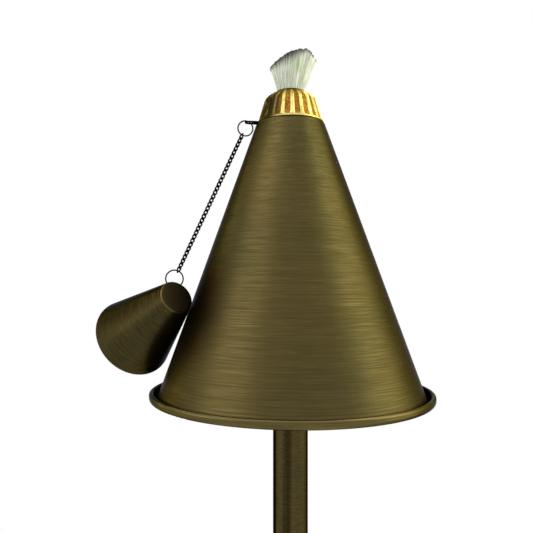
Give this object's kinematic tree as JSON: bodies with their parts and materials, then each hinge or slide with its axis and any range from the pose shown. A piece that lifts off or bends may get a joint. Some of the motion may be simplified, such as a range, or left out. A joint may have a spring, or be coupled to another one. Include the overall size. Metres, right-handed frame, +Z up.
{
  "type": "tiki torch",
  "caption": "Garden fuel torch with a cone tank, ribbed screw-down burner, wick, chained snuffer, sectioned pole and ground spike.",
  "frame": {"origin": "on the pole's axis at ground level, where the spike enters the foot plate's underside", "axes": "+Z up along the pole to the wick, -Y front, the snuffer hangs on the -X side"},
  "size_m": [0.2444, 0.2032, 1.7133],
  "materials": {
    "aged_brass": "brushed, antique olive-brown lacquer",
    "cast_brass": "cast, polished ribs with dark brown grooves",
    "plain_brass": "drawn tube",
    "dark_bronze": "oil-rubbed, nearly black",
    "dark_screw": "bronze-plated",
    "spike_steel": "satin dark bronze paint",
    "wick_fibre": "twisted glass fibre, charred along its cut edge",
    "gasket": "flat ring"
  },
  "bodies": {
    "root": {"ground_spike": "spike_steel", "foot_plate": "aged_brass", "spike_screw": "dark_screw", "pole_bottom": "aged_brass", "lower_coupler": "aged_brass", "pole_middle": "aged_brass", "upper_coupler": "aged_brass", "pole_top": "aged_brass", "pole_screws": "dark_screw", "pole_socket": "aged_brass", "socket_screws": "dark_screw", "base_pan": "aged_brass", "cone_shell": "aged_brass", "neck_ring": "aged_brass", "chain_washer": "dark_bronze"},
    "burner": {"wick_tube": "plain_brass", "burner_gasket": "gasket", "wick": "wick_fibre"},
    "collar": {"collar": "cast_brass"},
    "upper_ring": {"upper_ring": "dark_bronze"},
    "chain_run_1": {"chain_run_1": "dark_bronze"},
    "chain_run_2": {"chain_run_2": "dark_bronze"},
    "chain_run_3": {"chain_run_3": "dark_bronze"},
    "chain_run_4": {"chain_run_4": "dark_bronze"},
    "chain_run_5": {"chain_run_5": "dark_bronze"},
    "chain_run_6": {"chain_run_6": "dark_bronze"},
    "lower_ring": {"lower_ring": "dark_bronze"},
    "snuffer": {"snuffer": "aged_brass"}
  },
  "joints": [
    {"name": "burner_lift", "type": "slide", "parent": "root", "child": "burner", "axis": [0, 0, 1], "range_m": [0, 0.2]},
    {"name": "collar_turn", "type": "hinge", "parent": "burner", "child": "collar", "pos_m": [0, 0, 1.44103], "axis": [0, 0, 1], "continuous": true},
    {"name": "upper_ring_swing", "type": "hinge", "parent": "root", "child": "upper_ring", "pos_m": [-0.02958, -0.005, 1.44048], "axis": [-0.1668, 0.986, 0], "range_deg": [0, 70]},
    {"name": "chain_round_upper_ring", "type": "hinge", "parent": "upper_ring", "child": "chain_run_1", "pos_m": [-0.03271, -0.00553, 1.43611], "axis": [-0.1668, 0.986, 0], "range_deg": [0, 30]},
    {"name": "chain_bend_1", "type": "hinge", "parent": "chain_run_1", "child": "chain_run_2", "pos_m": [-0.04302, -0.00728, 1.41377], "axis": [-0.9072, 0.0857, 0.412], "range_deg": [0, 30]},
    {"name": "chain_bend_2", "type": "hinge", "parent": "chain_run_2", "child": "chain_run_3", "pos_m": [-0.04971, -0.00841, 1.39928], "axis": [0.261, 0.9456, -0.1942], "range_deg": [0, 30]},
    {"name": "chain_bend_3", "type": "hinge", "parent": "chain_run_3", "child": "chain_run_4", "pos_m": [-0.05773, -0.00976, 1.38189], "axis": [0.4956, 0.8178, -0.2925], "range_deg": [0, 30]},
    {"name": "chain_bend_4", "type": "hinge", "parent": "chain_run_4", "child": "chain_run_5", "pos_m": [-0.06576, -0.01112, 1.3645], "axis": [0.69, 0.6238, -0.3671], "range_deg": [0, 30]},
    {"name": "chain_bend_5", "type": "hinge", "parent": "chain_run_5", "child": "chain_run_6", "pos_m": [-0.07244, -0.01225, 1.35001], "axis": [-0.4116, 0.9035, 0.1194], "range_deg": [0, 30]},
    {"name": "lower_ring_swing", "type": "hinge", "parent": "chain_run_6", "child": "lower_ring", "pos_m": [-0.08261, -0.01397, 1.32797], "axis": [-0.1668, 0.986, 0], "range_deg": [0, 45]},
    {"name": "snuffer_swing", "type": "hinge", "parent": "lower_ring", "child": "snuffer", "pos_m": [-0.08261, -0.01397, 1.32797], "axis": [-0.1668, 0.986, 0], "range_deg": [0, 45]}
  ]
}
